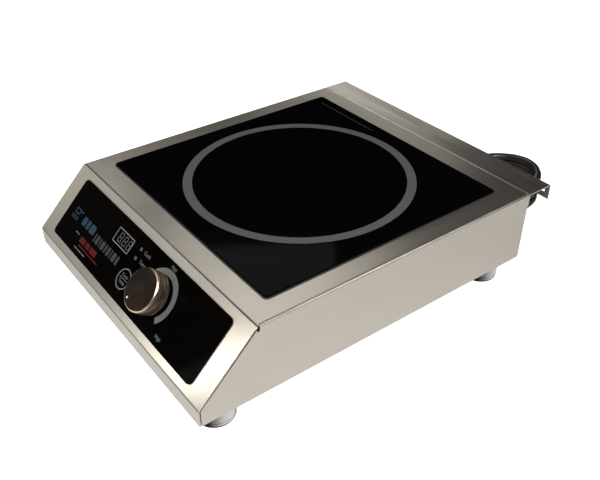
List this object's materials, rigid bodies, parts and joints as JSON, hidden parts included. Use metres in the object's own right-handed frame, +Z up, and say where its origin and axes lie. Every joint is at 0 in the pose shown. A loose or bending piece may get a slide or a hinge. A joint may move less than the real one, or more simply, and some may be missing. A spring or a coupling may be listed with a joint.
{
  "type": "countertop induction range",
  "caption": "Portable countertop induction range: folded stainless case with a sloping control front, black glass top, rotary knob, round feet and a coiled mains cord.",
  "frame": {"origin": "on the table, under the middle of the case and its rear bracket", "axes": "+Z up, +Y to the rear where the cord leaves, the control front faces -Y, +X to the user's right"},
  "size_m": [0.351, 0.5829, 0.103],
  "materials": {
    "stainless": "brushed satin",
    "inner_steel": "mill finish",
    "cooking_glass": "opaque black glass ceramic, polished",
    "seal": "satin silicone",
    "fascia": "gloss black",
    "window": "smoked gloss",
    "display": "satin",
    "lamp": "diffused",
    "button": "satin black",
    "circuit_board": "solder mask",
    "contact_brass": "bright",
    "bronze_knob": "turned, bronze anodised",
    "white_print": "satin",
    "black_plastic": "moulded",
    "winding": "enamelled copper",
    "ferrite": "sintered",
    "mica": "pressed mica",
    "bare_aluminium": "mill finish",
    "capacitor": "moulded",
    "foot_metal": "polished stainless",
    "rubber": "matte",
    "cord_jacket": "satin jacket"
  },
  "bodies": {
    "case": {"top_cover": "stainless", "base_pan": "inner_steel", "rear_panel": "stainless", "rear_bracket": "stainless", "foot_1": "foot_metal", "foot_pad_1": "rubber", "foot_2": "foot_metal", "foot_pad_2": "rubber", "foot_3": "foot_metal", "foot_pad_3": "rubber", "foot_4": "foot_metal", "foot_pad_4": "rubber", "glass_plate": "cooking_glass", "glass_seal": "seal", "glass_frame": "inner_steel", "fascia_panel": "fascia", "display_window": "window", "display_module": "display", "cook_lamp": "lamp", "temp_lamp": "lamp", "mode_switch": "black_plastic", "control_board": "circuit_board", "control_standoff_1": "contact_brass", "control_standoff_2": "contact_brass", "encoder_body": "inner_steel", "encoder_nut": "inner_steel", "mica_sheet": "mica", "inner_winding": "winding", "outer_winding": "winding", "coil_carrier": "black_plastic", "ferrite_bar_1": "ferrite", "ferrite_bar_2": "ferrite", "ferrite_bar_3": "ferrite", "ferrite_bar_4": "ferrite", "thermistor": "white_print", "coil_tray": "bare_aluminium", "board_rail_1": "black_plastic", "board_rail_2": "black_plastic", "power_board": "circuit_board", "heatsink": "bare_aluminium", "power_transistor": "black_plastic", "bridge_rectifier": "black_plastic", "filter_capacitor": "capacitor", "resonance_capacitor": "capacitor", "choke": "winding", "fan_frame": "black_plastic", "strain_relief": "rubber", "power_cord": "cord_jacket", "cord_coil": "cord_jacket", "plug_lead": "cord_jacket", "plug_body": "cord_jacket", "plug_blade_1": "contact_brass", "plug_blade_2": "contact_brass", "plug_pin": "contact_brass"},
    "knob_and_shaft": {"knob": "bronze_knob", "knob_dot": "white_print", "encoder_shaft": "inner_steel"},
    "mode_button": {"mode_button": "button"},
    "fan_rotor": {"fan_impeller": "black_plastic"}
  },
  "joints": [
    {"name": "knob_turn", "type": "hinge", "parent": "case", "child": "knob_and_shaft", "pos_m": [0.0516, -0.19509, 0.06846], "axis": [0, 0.7071, -0.7071], "range_deg": [0, 285]},
    {"name": "button_press", "type": "slide", "parent": "case", "child": "mode_button", "axis": [0, 0.7071, -0.7071], "range_m": [0, 0.0008], "stiffness_N_per_m": 1500},
    {"name": "fan_spin", "type": "hinge", "parent": "case", "child": "fan_rotor", "pos_m": [-0.115, -0.115, 0.03], "axis": [0, 0, 1], "continuous": true}
  ]
}
